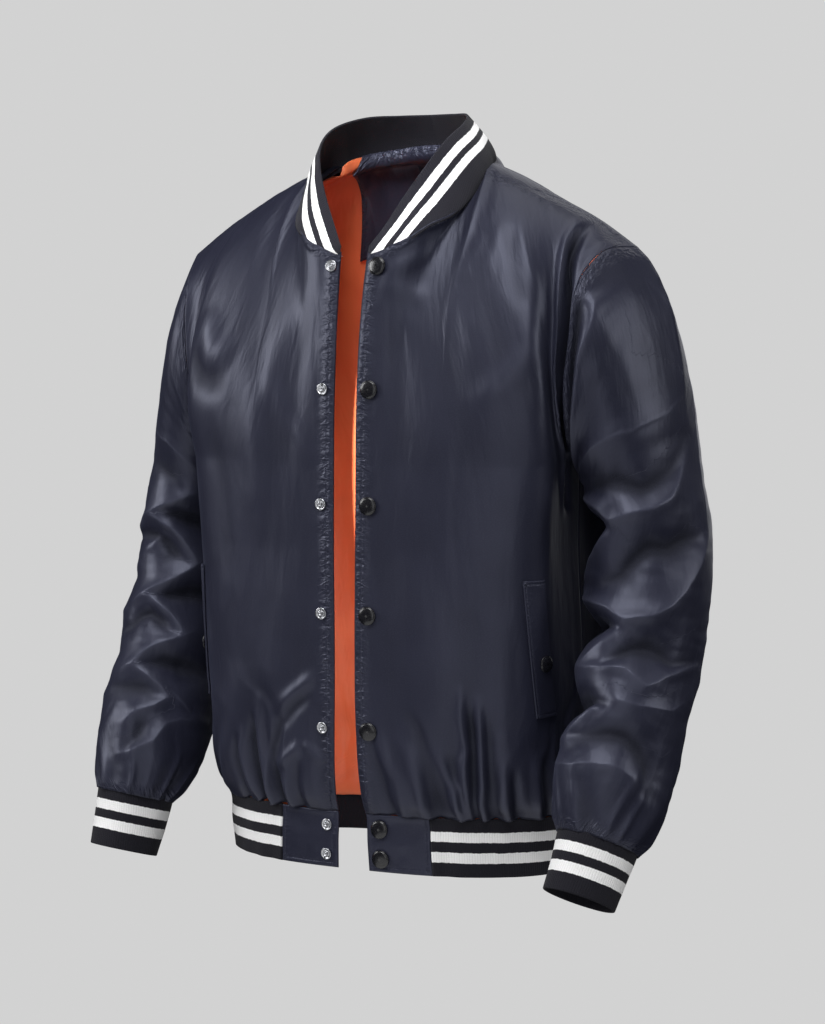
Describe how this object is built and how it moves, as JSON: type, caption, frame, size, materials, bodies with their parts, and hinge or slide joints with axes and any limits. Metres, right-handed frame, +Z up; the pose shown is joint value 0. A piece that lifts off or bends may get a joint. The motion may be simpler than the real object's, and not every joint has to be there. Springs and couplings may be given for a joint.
{
  "type": "varsity jacket",
  "caption": "Snap-front varsity jacket of satin cloth with rib-knit collar, cuffs and hem, filled out as if worn: open neck, sleeves and hem, front left apart.",
  "frame": {"origin": "in the middle of the neck, at the height of the neck ends of the shoulder seams, where the wearer's shoulders hold the jacket up", "axes": "+Z up along the wearer's back; the open front faces -Y; +X is the wearer's left, the side with the snap caps"},
  "size_m": [0.6048, 0.2866, 0.7304],
  "materials": {
    "satin": "satin",
    "lining": "satin",
    "rib": "matte",
    "cap": "gloss",
    "stud": "polished"
  },
  "bodies": {
    "root": {"back": "satin", "collar": "rib", "cuff_left": "rib", "cuff_right": "rib", "front_left": "satin", "front_right": "satin", "hem_rib": "rib", "hem_tab_left": "satin", "hem_tab_right": "satin", "lining_back": "lining", "lining_front_left": "lining", "lining_front_right": "lining", "neck_patch": "satin", "pocket_snap_left": "cap", "pocket_snap_right": "cap", "pocket_welt_left": "satin", "pocket_welt_right": "satin", "sleeve_left": "satin", "sleeve_right": "satin", "snap_cap_1": "cap", "snap_cap_2": "cap", "snap_cap_3": "cap", "snap_cap_4": "cap", "snap_cap_5": "cap", "snap_cap_6": "cap", "snap_cap_7": "cap", "snap_stud_1": "stud", "snap_stud_2": "stud", "snap_stud_3": "stud", "snap_stud_4": "stud", "snap_stud_5": "stud", "snap_stud_6": "stud", "snap_stud_7": "stud"}
  },
  "joints": []
}
